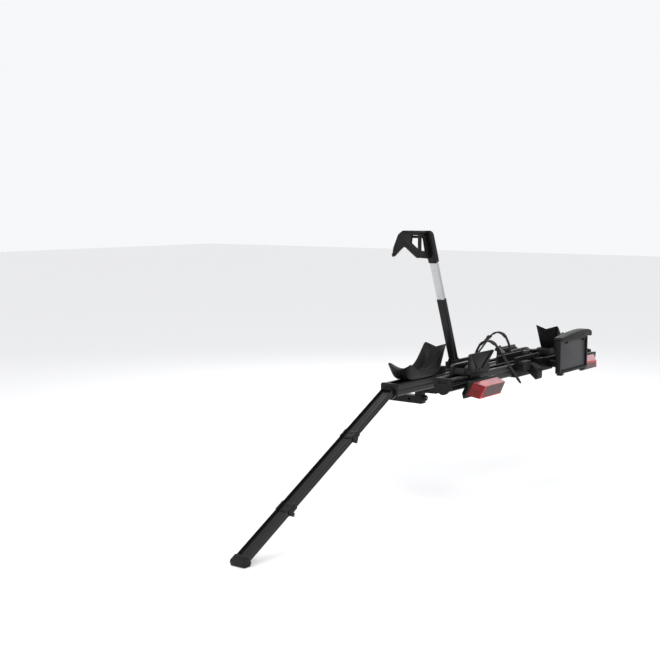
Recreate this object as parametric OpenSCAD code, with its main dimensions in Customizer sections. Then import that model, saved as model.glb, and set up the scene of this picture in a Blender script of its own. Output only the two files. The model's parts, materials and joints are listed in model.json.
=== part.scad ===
// Hitch-mounted platform carrier for two bicycles, with a folding loading ramp.
// Millimetres. +X to the vehicle's right, +Y forward to the vehicle, +Z up.
// The origin is the centre of the hitch pin hole through the shank.

/* [Wheel rails] */
// Length of each wheel rail
rail_len = 1690; // [1640:10:1720]
// Width of each wheel rail
rail_w = 104; // [104:1:106]
// Height of each wheel rail
rail_h = 70; // [66:1:70]
// Distance between the two rails
rail_pitch = 350; // [345:1:355]
// Height of the front rail's top above the hitch pin
rail_top = 245; // [243:1:250]
// Height step up to the rear rail
rail_step = 62; // [60:1:66]
// Distance from the hitch pin back to the front rail
rail_back = 411; // [408:1:416]

/* [Hitch shank] */
// Outside width of the square shank
shank_w = 50.8; // [50:0.1:50.8]
// Diameter of the hitch pin hole
pin_hole_d = 16.2; // [14:0.1:16.5]
// Angle between the road and the loading ramp
ramp_slope = 27.8; // [24:0.2:30]

/* [Wheels carried] */
// Outer radius of the bicycle wheels
wheel_r = 372; // [360:1:376]
// Distance from the middle of a rail to each wheel's axle
wheel_x = 600; // [595:1:605]

/* [Support arms] */
// Lean of the raised arm from upright
arm_lean_up = 21.5; // [15:0.5:25]
// Lean of the stowed arm from upright
arm_lean_flat = 92; // [90:0.5:93]
// How far the stowed arm is telescoped in
arm_stroke = 225; // [150:5:225]
// Length of the outer sleeve from its pivot
sleeve_len = 485; // [440:1:488]

/* [Loading ramp] */
// Distance from the hook to the first ramp fold
fold_1 = 423; // [400:1:440]
// Distance from the hook to the second ramp fold
fold_2 = 1028; // [980:1:1040]
// Distance from the hook to the end of the ramp
ramp_len = 1448; // [1400:1:1460]

/* [Hidden] */
$fn = 48;

// Gaps and fits
slide_gap = 0.5;
pin_gap = 0.05;
end_gap = 0.3;

// Where each rail lies; the rear one is the front one turned end for end
tray_y = [-rail_back, -rail_back - rail_pitch];
tray_z = [rail_top, rail_top + rail_step];
beam_w = 26;
channel_depth = 34;
cap_t = 17;
rail_end = rail_len / 2;
saddle_x = 150;
saddle_t = 14;
saddle_floor = 8;
saddle_up = 40;
nose_t = 46;

// Hitch and tilt pivot
shank_front = 150;
shank_rear = -96;
shank_wall = 3.2;
rod_z = 12.2;
rod_r = 3.5;
pivot_y = -68;
pivot_z = 78;
pivot_r = 8;
post_w = 40;
post_half = 28;
spine_w = 84;

// Arm pivots, in the rail's frame
arm_x = -314;
arm_y = -110;
arm_z = 5;
arm_pin_r = 6;
sleeve_x = 34;
sleeve_y = 50;
tube_x = 28;
tube_y = 44;
collar_from = 32;
collar_to = 96;
tube_from = 270;
tube_to = 800;
head_from = 715;
head_to = 888;
arm_lean = [arm_lean_up, arm_lean_flat];
arm_shift = [0, -arm_stroke];

// Yoke plate that bears on the tyre, in the front rail's frame with its arm raised
yoke_x = -728;
yoke_t = 18;
yoke_top = 850;

// Wheel cradle, strap and ratchet, in the rail's frame
tyre_half = 34;
cradle_half = 58;
cradle_x = [600, 570];
cradle_wall = [40, 102];
strap_back = 137;
strap_w = 28;
strap_t = 4;
pad_t = 10;
strap_route = [
    [-50, 34], [-47, 68], [-35, 104], [-18, 134], [4, 155], [32, 165], [58, 162],
    [84, 146], [112, 118], [150, 66], [200, 2], [246, -57]
];
ratchet_at = [112, 118];
ratchet_tilt = -46;
ratchet_pin = [-20, 7.5];
ratchet_pin_r = 3;

// Tail lamps as they stand on the left; the right one is mirrored and has an upright outer end
lens_back_y = -879;
lens_front_y = -929;
housing_back_y = -838;
function lens_back(side) = [
    [-813, 220], [-533, 220], [-477, 280], side == "left" ? [-735, 280] : [-822, 272]
];
function lens_front(side) = [
    [-757, 197], [-520, 197], [-464, 257], side == "left" ? [-686, 257] : [-752, 242]
];
function housing_front(side) = [
    [-845, 202], [-524, 202], [-460, 290], side == "left" ? [-752, 290] : [-862, 284]
];
function housing_back(side) = [
    [-790, 222], [-540, 222], [-490, 286], side == "left" ? [-730, 286] : [-800, 280]
];
guide_left = [[-757, 197], [-520, 197], [-511, 206], [-732, 206], [-672, 257], [-686, 257]];
guide_right = [[-757, 197], [-752, 242], [-466, 256], [-467, 245], [-735, 231], [-738, 197]];
guide_t = 1.5;

// Number plate holder
plate_x = [118, 474];
plate_z = [247, 420];
frame_y = [-985, -955];
plate_y = [-975, -971];
frame_rim = 15;

// Tilt lever
lever_y = -850;
lever_z = 290;
lever_half = 34;
lever_pin_r = 5;

// Ramp
hook_x = -rail_end - 16;
hook_z = rail_top - 24;
hook_r = 4.5;
ramp_w = 78;
ramp_lip = 3;
ramp_below = 27;
ramp_deck = -9;
ramp_wall = 6;
ramp_floor = 3.5;
collar_len = 32;
collar_grow = 4;
fold_pin_z = -50;
fold_pin_r = 4;
foot_len = 52;

// ---------- helpers ----------

// A profile in (y, z), extruded along X about the middle
module along_x(len) translate([-len / 2, 0, 0]) rotate([90, 0, 90]) linear_extrude(len) children();

// A profile in (x, z), extruded along Y from y0 to y1
module along_y(y0, y1) translate([0, y1, 0]) rotate([90, 0, 0]) linear_extrude(y1 - y0) children();

// A box between two corners
module span(low, high) translate(low) cube(high - low);

// A rectangle about its middle with round corners
module round_rect(w, h, r) {
    square([w - 2 * r, h], center = true);
    square([w, h - 2 * r], center = true);
    for (x = [-1, 1], z = [-1, 1]) translate([x * (w / 2 - r), z * (h / 2 - r)]) circle(r);
}

// A rod along X or Y through a point
module rod_x(r, len, at) translate(at) rotate([0, 90, 0]) cylinder(r = r, h = len, center = true);
module rod_y(r, len, at) translate(at) rotate([90, 0, 0]) cylinder(r = r, h = len, center = true);

// Places things on a rail: k = 0 is the front rail, k = 1 the rear one
module on_tray(k) translate([0, tray_y[k], tray_z[k]]) rotate([0, 0, 180 * k]) children();

// Places things on an arm: z along the arm, -x outboard; shifted with the telescope if asked
module on_arm(k, shift = 0) on_tray(k) translate([arm_x, 0, arm_z]) rotate([0, -arm_lean[k], 0])
    translate([0, 0, shift]) children();

// Places things on the ramp: -x down the ramp from the hook, z off its running surface
module on_ramp() translate([hook_x, tray_y[0], hook_z]) rotate([0, -ramp_slope, 0]) children();

// Mirrors a left-hand piece to the right
module to_side(side) mirror([side == "right" ? 1 : 0, 0, 0]) children();

// ---------- hitch ----------

module hitch_shank() color("#1c1c1e") difference() {
    translate([0, (shank_front + shank_rear) / 2, 0])
        cube([shank_w, shank_front - shank_rear, shank_w], center = true);
    translate([0, (shank_front + shank_rear) / 2 + 4, 0])
        cube([shank_w - 2 * shank_wall, shank_front - shank_rear, shank_w - 2 * shank_wall], center = true);
    rod_x(pin_hole_d / 2, shank_w + 2, [0, 0, 0]);
    rod_y(rod_r + pin_gap, 12, [0, shank_rear, rod_z]);
}

module tilt_post() color("#1c1c1e") difference() {
    along_x(post_w) {
        translate([pivot_y - post_half, shank_w / 2]) square([2 * post_half, pivot_z - shank_w / 2]);
        translate([pivot_y, pivot_z]) circle(post_half);
    }
    rod_x(pivot_r, post_w + 2, [0, pivot_y, pivot_z]);
}

module tilt_pin() color("#9a9ca0") {
    rod_x(pivot_r, spine_w + 8, [0, pivot_y, pivot_z]);
    for (s = [-1, 1]) rod_x(pivot_r + 5, 4, [s * (spine_w / 2 + 3), pivot_y, pivot_z]);
}

module hitch_knob() color("#161617") difference() {
    union() {
        rod_y(18, 20, [0, shank_rear - 12.5, rod_z]);
        for (a = [0:60:300]) translate([0, 0, rod_z]) rotate([0, a, 0])
            rod_y(3, 16, [16.5, shank_rear - 12.5, 0]);
    }
    rod_y(rod_r, 60, [0, shank_rear - 12.5, rod_z]);
}

module draw_rod() color("#9a9ca0") {
    rod_y(rod_r, shank_front - shank_rear + 26, [0, (shank_front + shank_rear) / 2 - 9, rod_z]);
    translate([0, shank_front + 2, rod_z]) rotate([90, 0, 0]) cylinder(r = 7, h = 6, center = true, $fn = 6);
}

module anti_rattle_wedge() color("#8b8d90") difference() {
    inside = shank_w / 2 - shank_wall;
    along_x(32) polygon([[110, -inside], [144, -inside], [144, 18], [110, 20]]);
    rod_y(rod_r + pin_gap, 40, [0, 127, rod_z]);
}

// ---------- frame of the platform ----------

module spine() color("#1a1a1c") difference() {
    along_x(spine_w) polygon([
        [-30, 92], [-38, 56], [-54, 50], [-212, 54], [-340, 98], [-676, 226],
        [tray_y[1] + rail_w / 2 + saddle_t, 226], [tray_y[1] + rail_w / 2 + saddle_t, 300], [-652, 296],
        [-478, tray_z[0] - rail_h - saddle_floor], [-62, tray_z[0] - rail_h - saddle_floor], [-30, 132]
    ]);
    along_x(post_w + 1.2) {
        polygon([[-130, 40], [-130, 66], [-100, 108], [-18, 108], [-18, 40]]);
        translate([pivot_y, pivot_z]) circle(post_half + 2);
    }
    rod_x(pivot_r + pin_gap, spine_w + 2, [0, pivot_y, pivot_z]);
}

module saddle(k) color("#171718") on_tray(k) {
    inner = rail_w / 2;
    outer = inner + saddle_t;
    along_x(2 * saddle_x) difference() {
        union() {
            translate([-outer, -rail_h - saddle_floor]) square([2 * outer, saddle_floor]);
            for (s = [-1, 1]) translate([s * (inner + saddle_t / 2), (saddle_up - rail_h - saddle_floor) / 2])
                round_rect(saddle_t, rail_h + saddle_floor + saddle_up, 5);
        }
        translate([-inner, -rail_h]) square([2 * inner, rail_h + saddle_up + 1]);
    }
    // The rear saddle carries a closed nose and the ears of the tilt lever
    if (k == 1) for (s = [-1, 1]) {
        translate([0, outer, 0]) along_y(0, nose_t)
            polygon(s > 0 ? [[50, -36], [140, -36], [147, 8], [138, 18], [50, 18]]
                : [[-50, -62], [-230, -62], [-240, -52], [-240, -12], [-146, 14], [-50, 18]]);
        reach = tray_y[1] - outer - (lever_y - 15);
        translate([s * (lever_half + 6) - 4.5, outer, lever_z - tray_z[1] - 15]) difference() {
            cube([9, reach, 30]);
            rod_x(lever_pin_r, 20, [4.5, reach - 15, 15]);
        }
    }
}

module rail(k) color("#1d1d1f") on_tray(k) along_x(rail_len) translate([0, -rail_h / 2]) {
    for (s = [-1, 1]) translate([s * (rail_w - beam_w) / 2, 0]) difference() {
        round_rect(beam_w, rail_h, 9);
        round_rect(beam_w - 6, rail_h - 6, 6);
    }
    inner = rail_w - 2 * beam_w + 2;
    for (z = [rail_h / 2 - channel_depth - 4, -rail_h / 2 + 3]) translate([-inner / 2, z]) square([inner, 4]);
}

module end_cap(k, end) {
    base = tray_z[k] - rail_h / 2;
    color("#19191b") translate([end * (rail_end + cap_t / 2), tray_y[k], base]) difference() {
        along_x(cap_t) {
            round_rect(rail_w + 4, rail_h + 4, 12);
            translate([0, -19]) circle(38);
        }
        // Slot for the hook, open wide to the outside
        slot_z = hook_z - tray_z[0] + rail_h / 2;
        rod_y(hook_r + slide_gap, 56, [end * (16 - cap_t / 2), 0, slot_z]);
        translate([end * (16 - cap_t / 2), 0, slot_z]) along_y(-28, 28)
            polygon([[0, 4.9], [end * 8, 9], [end * 8, -14], [0, -4.9]]);
    }
}

module rail_bolts() color("#8f9194") for (k = [0, 1]) on_tray(k)
    for (x = [-100, -70, 70, 100], y = [-30, 30])
        translate([x, y, -rail_h - saddle_floor - 5]) cylinder(r = 8, h = 5, $fn = 6);

// ---------- wheel scoops and cradles ----------

// Side wall of the front wheel scoop, in (x, z)
module horn_wall() polygon([
    [-720, 0], [-744, 24], [-768, 76], [-774, 96], [-752, 102], [-720, 88], [-676, 62], [-637, 50],
    [-560, 38], [-560, 0]
]);
module wing_wall() polygon([
    [-640, 0], [-640, 38], [-560, 40], [-487, 72], [-435, 110], [-384, 168], [-368, 171],
    [-334, 152], [-328, 138], [-352, 96], [-390, 40], [-410, 0]
]);

module front_scoop(k) color("#151516") on_tray(k) {
    span([-724, -rail_w / 2, 0], [-408, rail_w / 2, 12]);
    span([-420, -44, 0], [-322, 44, 44]);
    // Curved floor under the tyre
    intersection() {
        along_y(-38, 38) translate([-wheel_x, 395]) difference() {
            circle(wheel_r + 12, $fn = 120);
            circle(wheel_r + 4, $fn = 120);
        }
        span([-770, -50, 8], [-352, 50, 136]);
    }
    for (s = [0, 1]) mirror([0, s, 0]) {
        translate([0, 46, 4]) rotate([-12, 0, 0]) along_y(0, 8) horn_wall();
        translate([0, 48, 10]) rotate([-6, 0, 0]) along_y(0, 8) wing_wall();
    }
    // Notched back towards the middle of the rail
    translate([-404, 0, 8]) rotate([0, 14, 0]) along_x(12) polygon([
        [-50, 0], [50, 0], [72, 150], [66, 174], [54, 175], [0, 152], [-54, 175], [-66, 174], [-72, 150]
    ]);
}

module rear_cradle(k) color("#151516") on_tray(k) translate([cradle_x[k], 0, 0]) {
    difference() {
        along_y(-cradle_half, cradle_half) polygon([
            [-122, slide_gap], [-122, 42], [-96, 52], [96, 52], [122, 42], [122, slide_gap]
        ]);
        translate([0, 0, 395]) rotate([90, 0, 0])
            cylinder(r = wheel_r + 4, h = 2 * tyre_half, center = true, $fn = 120);
        along_x(300) polygon([[-tyre_half, 24], [tyre_half, 24], [tyre_half, 60], [-tyre_half, 60]]);
    }
    // Flared wall beside the tyre, tall on the rear rail
    translate([0, cradle_half - 8, 20]) rotate([-10, 0, 0]) along_y(0, 8) polygon([
        [-66, 0], [114, 0], [135, cradle_wall[k] - 18], [137, cradle_wall[k] - 6], [128, cradle_wall[k]],
        [-130, cradle_wall[k]], [-145, cradle_wall[k] - 6], [-138, cradle_wall[k] - 18]
    ]);
    // Skirts that guide the cradle on the rail
    for (s = [-1, 1]) translate([0, s * (rail_w / 2 + slide_gap + 4), -10])
        cube([200, 8, 22], center = true);
    // Anchor of the strap
    span([-strap_back - 16, -cradle_half - 3, 12], [-strap_back + 16, -cradle_half + 12, 34]);
    span([-strap_back, -cradle_half, 12], [-100, -cradle_half + 12, 34]);
}

function unit(v) = v / norm(v);
function side_of(v) = [-v[1], v[0]];
function route_dir(p, i) = unit(p[min(i + 1, len(p) - 1)] - p[max(i - 1, 0)]);
function offset_route(p, d) = [for (i = [0:len(p) - 1]) p[i] + d * side_of(route_dir(p, i))];
function reversed(p) = [for (i = [len(p) - 1:-1:0]) p[i]];

// A strip of even thickness that follows a route
module strip(p, t) polygon(concat(offset_route(p, t / 2), reversed(offset_route(p, -t / 2))));

module on_ratchet(k) on_tray(k) translate([cradle_x[k] - strap_back, ratchet_at[0], ratchet_at[1]])
    rotate([ratchet_tilt, 0, 0]) children();

module strap(k) color("#121213") {
    on_tray(k) translate([cradle_x[k] - strap_back, 0, 0]) along_x(strap_w) strip(strap_route, strap_t);
    // Pad that lies on the rim
    on_tray(k) translate([cradle_x[k] - strap_back, 0, 0]) along_x(strap_w + 4)
        strip([for (i = [3:7]) strap_route[i]], pad_t);
    // Cheeks of the ratchet on both edges of the strap
    on_ratchet(k) for (s = [-1, 1]) difference() {
        translate([s * (strap_w / 2 + 1.5) - 2.5, -26, -4]) cube([5, 34, 18]);
        rod_x(ratchet_pin_r + pin_gap, strap_w + 20, [0, ratchet_pin[0], ratchet_pin[1]]);
    }
}

module buckle_lever(k) color("#5c5e61") on_ratchet(k) {
    span([-strap_w / 2 + 2, -22, 3], [strap_w / 2 - 2, 10, 11]);
    span([-strap_w / 2 - 3, 10, 4], [strap_w / 2 + 3, 26, 12]);
    rod_x(ratchet_pin_r, strap_w + 8, [0, ratchet_pin[0], ratchet_pin[1]]);
}

// ---------- support arms ----------

module arm_base(k) color("#19191b") on_tray(k) difference() {
    union() {
        span([arm_x - 37, -rail_w / 2 - 8, -62], [arm_x + 40, -rail_w / 2, -8]);
        span([arm_x - 37, arm_y - 34, -62], [arm_x + 40, -rail_w / 2 - 8, -46]);
        for (y = [arm_y + sleeve_y / 2 + slide_gap, arm_y - sleeve_y / 2 - slide_gap - 8]) along_y(y, y + 8) {
            translate([arm_x - 22, -46]) square([44, 46 + arm_z]);
            translate([arm_x, arm_z]) circle(24);
        }
    }
    rod_y(arm_pin_r, 80, [arm_x, arm_y, arm_z]);
}

module arm_pins() color("#9a9ca0") for (k = [0, 1]) on_tray(k) {
    rod_y(arm_pin_r, sleeve_y + 24, [arm_x, arm_y, arm_z]);
    for (s = [-1, 1]) rod_y(10, 4, [arm_x, arm_y + s * (sleeve_y / 2 + 11), arm_z]);
}

module arm_sleeve(k) color("#161617") on_arm(k) difference() {
    union() {
        rod_y(22, sleeve_y, [0, arm_y, 0]);
        translate([0, arm_y, 0]) linear_extrude(sleeve_len) round_rect(sleeve_x, sleeve_y, 7);
    }
    translate([0, arm_y, collar_from]) linear_extrude(sleeve_len)
        round_rect(tube_x + 2 * slide_gap, tube_y + 2 * slide_gap, 4.5);
    rod_y(arm_pin_r + pin_gap, 80, [0, arm_y, 0]);
}

module arm_collar(k) color("#131314") on_arm(k) translate([0, arm_y, collar_from])
    linear_extrude(collar_to - collar_from) difference() {
        round_rect(sleeve_x + 8, sleeve_y + 8, 9);
        round_rect(sleeve_x, sleeve_y, 7);
    }

module arm_tube(k) color("#a9abad") on_arm(k, arm_shift[k]) translate([0, arm_y, tube_from])
    linear_extrude(tube_to - tube_from) difference() {
        round_rect(tube_x, tube_y, 4);
        round_rect(tube_x - 6, tube_y - 6, 2);
    }

// Places things on a yoke head, as it stands in the rail's frame with the arm raised
module on_head(k) on_arm(k, arm_shift[k]) rotate([0, arm_lean_up, 0]) translate([-arm_x, 0, -arm_z])
    children();

// Plate of the yoke over the tyre, in (y, z)
module yoke_plate() difference() {
    polygon([
        [76, 700], [68, 750], [37, 825], [7, yoke_top - 2], [-110, yoke_top], [-110, 698], [-90, 698],
        [-40, 734], [-16, 754], [-4, 759], [8, 754], [24, 742], [62, 703]
    ]);
    polygon([[-56, 824], [-50, 780], [-100, 742], [-103, 824]]);
}

module yoke_frame(k) {
    on_arm(k, arm_shift[k]) translate([0, arm_y, head_from])
        linear_extrude(head_to - head_from) round_rect(40, sleeve_y + 4, 7);
    on_head(k) {
        translate([yoke_x + yoke_t / 2, 0, 0]) along_x(yoke_t) yoke_plate();
        // Side wall from the plate to the arm, with a window
        along_y(-110, -96) difference() {
            polygon([
                [yoke_x, 698], [yoke_x, yoke_top], [-640, 836], [-628, 822], [-600, 760],
                [-592, 700], [-618, 690]
            ]);
            polygon([[-705, 822], [-682, 820], [-655, 734], [-705, 738]]);
        }
        // Top bar and outer side wall
        span([yoke_x, -122, 836], [-655, 7, yoke_top]);
        along_y(20, 34) polygon([[yoke_x, 790], [yoke_x, 822], [-650, 820], [-640, 800]]);
        span([-656, -96, 806], [-642, 34, 820]);
        along_y(-134, -90) polygon([
            [-662, 832], [-662, yoke_top], [-648, yoke_top], [-622, 839], [-628, 816], [-644, 806]
        ]);
    }
}

// Sockets for the inner tube and the release button are cut through the whole head
module yoke_head(k) color("#141415") difference() {
    yoke_frame(k);
    on_arm(k, arm_shift[k]) {
        translate([0, arm_y, head_from - 1]) linear_extrude(tube_to - head_from + 1)
            round_rect(tube_x, tube_y, 4);
        span([-9, arm_y - 9, head_to - 20], [9, arm_y + 9, head_to + 20]);
    }
}

module release_button(k) color("#2a2a2c") on_arm(k, arm_shift[k])
    span([-8.5, arm_y - 8.5, head_to - 8], [8.5, arm_y + 8.5, head_to + 6]);

// ---------- lamps and number plate ----------

function lift(p, y) = [for (q = p) [q[0], y, q[1]]];
side_faces = [[0, 1, 5, 4], [1, 2, 6, 5], [2, 3, 7, 6], [3, 0, 4, 7]];

// A solid between two four-cornered outlines at two places along Y
module loft(front, y_front, back, y_back) polyhedron(
    points = concat(lift(front, y_front), lift(back, y_back)),
    faces = concat([[0, 3, 2, 1], [4, 5, 6, 7]], side_faces)
);

module lamp_housing(side) color("#19191b") to_side(side)
    loft(housing_front(side), lens_back_y, housing_back(side), housing_back_y);

module lamp_lens(side) color("#b3262b") to_side(side)
    loft(lens_front(side), lens_front_y, lens_back(side), lens_back_y);

module lamp_brackets() color("#19191b") for (side = ["left", "right"]) to_side(side)
    span([-640, housing_back_y, 242], [-560, tray_y[1] - rail_w / 2, 284]);

// Bright rim along two edges of each lens
module light_guides() color("#e0343a") for (side = ["left", "right"]) to_side(side)
    along_y(lens_front_y - guide_t, lens_front_y)
        polygon(side == "left" ? guide_left : guide_right);

// Two arms, one to the nose of the rear saddle and one to the rail
module plate_bracket() color("#19191b") for (arm = [[170, nose_t + saddle_t], [400, 0]])
    span([arm[0], frame_y[1], 262], [arm[0] + 30, tray_y[1] - rail_w / 2 - arm[1], 300]);

module plate_frame() color("#161617") {
    along_y(frame_y[0], frame_y[1]) difference() {
        translate([(plate_x[0] + plate_x[1]) / 2, (plate_z[0] + plate_z[1]) / 2])
            round_rect(plate_x[1] - plate_x[0] + 2 * frame_rim, plate_z[1] - plate_z[0] + 2 * frame_rim, 10);
        translate([plate_x[0], plate_z[0]]) square([plate_x[1] - plate_x[0], plate_z[1] - plate_z[0]]);
    }
    span([plate_x[0], plate_y[1], plate_z[0]], [plate_x[1], frame_y[1], plate_z[1]]);
    for (x = [plate_x[0] + 4, plate_x[1] - 44])
        span([x, frame_y[0], plate_z[0] - frame_rim - 12], [x + 40, frame_y[1], plate_z[0] - frame_rim]);
}

module plate_blank() color("#38393b")
    span([plate_x[0], plate_y[0], plate_z[0]], [plate_x[1], plate_y[1], plate_z[1]]);

module plate_cover() color("#1c1c1e") along_y(frame_y[0] - 15, frame_y[1] + 10) {
    top = plate_z[1] + frame_rim;
    polygon([
        [103, top], [106, top + 15], [140, top + 21], [236, top + 33], [352, top + 41], [420, top + 42],
        [470, top + 39], [506, top + 29], [516, top + 18], [516, top - 5], [497, top - 5], [490, top]
    ]);
}

module plate_clips() color("#19191b") for (x = [200, 430])
    span([x, frame_y[0], plate_z[1] - 12], [x + 18, plate_y[0], plate_z[1]]);

module tilt_lever() color("#171718") difference() {
    union() {
        along_x(2 * lever_half) polygon([
            [lever_y + 18, lever_z + 14], [lever_y + 18, 262], [-896, 208], [-906, 214], [-906, 270],
            [lever_y - 14, lever_z + 14]
        ]);
    }
    rod_x(lever_pin_r + pin_gap, 2 * lever_half + 2, [0, lever_y, lever_z]);
}

module lever_pin() color("#9a9ca0") {
    rod_x(lever_pin_r, 2 * lever_half + 21, [0, lever_y, lever_z]);
    for (s = [-1, 1]) rod_x(8, 3, [s * (lever_half + 12), lever_y, lever_z]);
}

// ---------- loading ramp ----------

module ramp_profile() {
    for (s = [-1, 1]) translate([s * (ramp_w - ramp_wall) / 2, (ramp_lip - ramp_below) / 2])
        round_rect(ramp_wall, ramp_lip + ramp_below, 2.5);
    translate([-ramp_w / 2 + 3, ramp_deck - ramp_floor]) square([ramp_w - 6, ramp_floor]);
    for (y = [-16, 16]) translate([y - 1.5, ramp_deck - 14]) square([3, 14]);
}

module ramp_section(from, to) color("#1e1e20") on_ramp()
    translate([-(from + to) / 2, 0, 0]) along_x(to - from) ramp_profile();

// Collar around the end of a section, with the ears of the fold; dir is +1 down the ramp
module ramp_collar(at, dir, ear_y, gap = 0) color("#131314") on_ramp() difference() {
    union() {
        translate([-(at + dir * (collar_len + end_gap) / 2), 0, 0]) along_x(collar_len - end_gap) {
            for (s = [-1, 1]) translate([s * (ramp_w + collar_grow) / 2, (ramp_lip - ramp_below) / 2])
                square([collar_grow, ramp_lip + ramp_below], center = true);
            translate([-ramp_w / 2 - collar_grow, -ramp_below - collar_grow])
                square([ramp_w + 2 * collar_grow, collar_grow]);
        }
        for (y = [-ear_y - 7, ear_y]) along_y(y, y + 7) {
            translate([-at, fold_pin_z]) circle(10);
            polygon([
                [-at - dir * (collar_len), -ramp_below - 2], [-at - dir * 1, -ramp_below - 2],
                [-at + dir * 9.5, fold_pin_z + 3], [-at - dir * 7, fold_pin_z - 7]
            ]);
        }
    }
    rod_y(fold_pin_r + gap, 120, [-at, 0, fold_pin_z]);
}

module ramp_hook() color("#26262a") on_ramp() {
    rod_y(hook_r, 52, [0, 0, 0]);
    span([-16, -23, -3.5], [0, 23, 1.5]);
    span([-20, -ramp_w / 2, -ramp_below], [-16, ramp_w / 2, ramp_lip]);
}

module ramp_pins() color("#9a9ca0") on_ramp() for (at = [fold_1, fold_2])
    rod_y(fold_pin_r, 76, [-at, 0, fold_pin_z]);

// The foot's sole lies flat on the road
module ramp_foot() color("#121213") on_ramp() difference() {
    sole = tan(ramp_slope);
    along_y(-ramp_w / 2 - 5, ramp_w / 2 + 5) polygon([
        [foot_len - ramp_len, -ramp_below - 5], [foot_len - ramp_len, ramp_lip + 2],
        [8 - ramp_len, ramp_lip + 2], [-ramp_len, -6], [-ramp_len, -24.5],
        [38 - ramp_len, -24.5 - 38 * sole]
    ]);
    span([18 - ramp_len, -ramp_w / 2, -ramp_below], [foot_len + 1 - ramp_len, ramp_w / 2, ramp_lip + 4]);
}

hitch_shank();
tilt_post();
tilt_pin();
hitch_knob();
draw_rod();
anti_rattle_wedge();
spine();
saddle(0);  // saddle_1
saddle(1);  // saddle_2
rail(0);  // rail_1
rail(1);  // rail_2
end_cap(0, -1);  // end_cap_1_left
end_cap(0, 1);  // end_cap_1_right
end_cap(1, -1);  // end_cap_2_left
end_cap(1, 1);  // end_cap_2_right
rail_bolts();
front_scoop(0);  // front_scoop_1
front_scoop(1);  // front_scoop_2
arm_base(0);  // arm_base_1
arm_base(1);  // arm_base_2
arm_pins();
arm_sleeve(0);  // arm_sleeve_1
arm_sleeve(1);  // arm_sleeve_2
arm_collar(0);  // arm_collar_1
arm_collar(1);  // arm_collar_2
arm_tube(0);  // arm_tube_1
arm_tube(1);  // arm_tube_2
yoke_head(0);  // yoke_head_1
yoke_head(1);  // yoke_head_2
release_button(0);  // release_button_1
release_button(1);  // release_button_2
rear_cradle(0);  // rear_cradle_1
rear_cradle(1);  // rear_cradle_2
strap(0);  // strap_1
strap(1);  // strap_2
buckle_lever(0);  // buckle_lever_1
buckle_lever(1);  // buckle_lever_2
lamp_brackets();
lamp_housing("left");  // lamp_housing_left
lamp_housing("right");  // lamp_housing_right
lamp_lens("left");  // lamp_lens_left
lamp_lens("right");  // lamp_lens_right
light_guides();
plate_bracket();
plate_frame();
plate_blank();
plate_cover();
plate_clips();
tilt_lever();
lever_pin();
ramp_hook();
ramp_section(20, fold_1 - end_gap);  // ramp_upper
ramp_section(fold_1 + end_gap, fold_2 - end_gap);  // ramp_middle
ramp_section(fold_2 + end_gap, ramp_len - 18);  // ramp_lower
ramp_collar(fold_1, -1, 28, pin_gap);  // ramp_collar_upper
union() {  // ramp_collars_middle
    ramp_collar(fold_1, 1, 20);
    ramp_collar(fold_2, -1, 20);
}
ramp_collar(fold_2, 1, 28, pin_gap);  // ramp_collar_lower
ramp_pins();
ramp_foot();
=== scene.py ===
import json
import math
import bmesh
import bpy
from mathutils import Matrix, Vector


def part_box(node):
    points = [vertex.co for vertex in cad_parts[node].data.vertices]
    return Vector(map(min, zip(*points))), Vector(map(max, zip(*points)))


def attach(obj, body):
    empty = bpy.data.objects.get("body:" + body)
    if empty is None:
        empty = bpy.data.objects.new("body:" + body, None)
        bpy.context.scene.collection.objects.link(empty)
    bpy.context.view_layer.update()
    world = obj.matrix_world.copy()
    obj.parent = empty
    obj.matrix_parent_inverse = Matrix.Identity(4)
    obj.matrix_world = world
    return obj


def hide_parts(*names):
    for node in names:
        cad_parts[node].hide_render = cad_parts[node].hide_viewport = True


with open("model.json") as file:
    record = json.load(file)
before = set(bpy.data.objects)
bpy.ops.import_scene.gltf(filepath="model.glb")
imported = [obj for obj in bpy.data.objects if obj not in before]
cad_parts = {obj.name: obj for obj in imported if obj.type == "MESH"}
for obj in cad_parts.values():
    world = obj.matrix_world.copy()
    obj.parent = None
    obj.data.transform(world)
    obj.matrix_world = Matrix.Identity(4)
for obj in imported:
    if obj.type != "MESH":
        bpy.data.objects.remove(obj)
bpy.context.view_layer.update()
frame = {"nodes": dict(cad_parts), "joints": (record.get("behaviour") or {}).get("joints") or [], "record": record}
NODES = frame["nodes"]
JOINTS = {j["name"]: j for j in frame["joints"]}
SLOTS = {p["node"]: p["material_slot"] for p in frame["record"]["subparts"]}
BODY = {n: b for b, ns in frame["record"]["behaviour"]["bodies"].items() for n in ns}
MM = 0.001

# Shapes are written in millimetres, in the frame of the part they belong to, and MM brings them to metres.


# ---------------------------------------------------------------- frames
def joint_at(name):
    return Vector(JOINTS[name]["pos_m"]) * 1000


def joint_axis(name):
    return Vector(JOINTS[name]["axis"]).normalized()


def tray(k):
    """A rail's frame: X along the rail, its top at Z 0. The second rail is turned round."""
    lo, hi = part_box(f"rail_{k + 1}")
    return Matrix.Translation((0, (lo.y + hi.y) * 500, hi.z * 1000)) @ Matrix.Rotation(math.pi * k, 4, "Z")


TRAY = [tray(0), tray(1)]
up = joint_axis("arm_1_extend")
LEAN_UP = math.atan2(-up.x, up.z)
PIVOT = TRAY[0].inverted() @ joint_at("arm_1_pivot")


def arm(k):
    """A support arm's frame: Z along the arm from its pivot, Y along the pivot."""
    pivot, z, y = joint_at(f"arm_{k + 1}_pivot"), joint_axis(
        f"arm_{k + 1}_extend"
    ), joint_axis(f"arm_{k + 1}_pivot")
    x = y.cross(z)
    m = Matrix((x, y, z)).transposed().to_4x4()
    return Matrix.Translation(pivot) @ m


ARM = [arm(0), arm(1)]
SHIFT = [0.0, -225.0]  # the second arm rests telescoped in by this much
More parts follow.
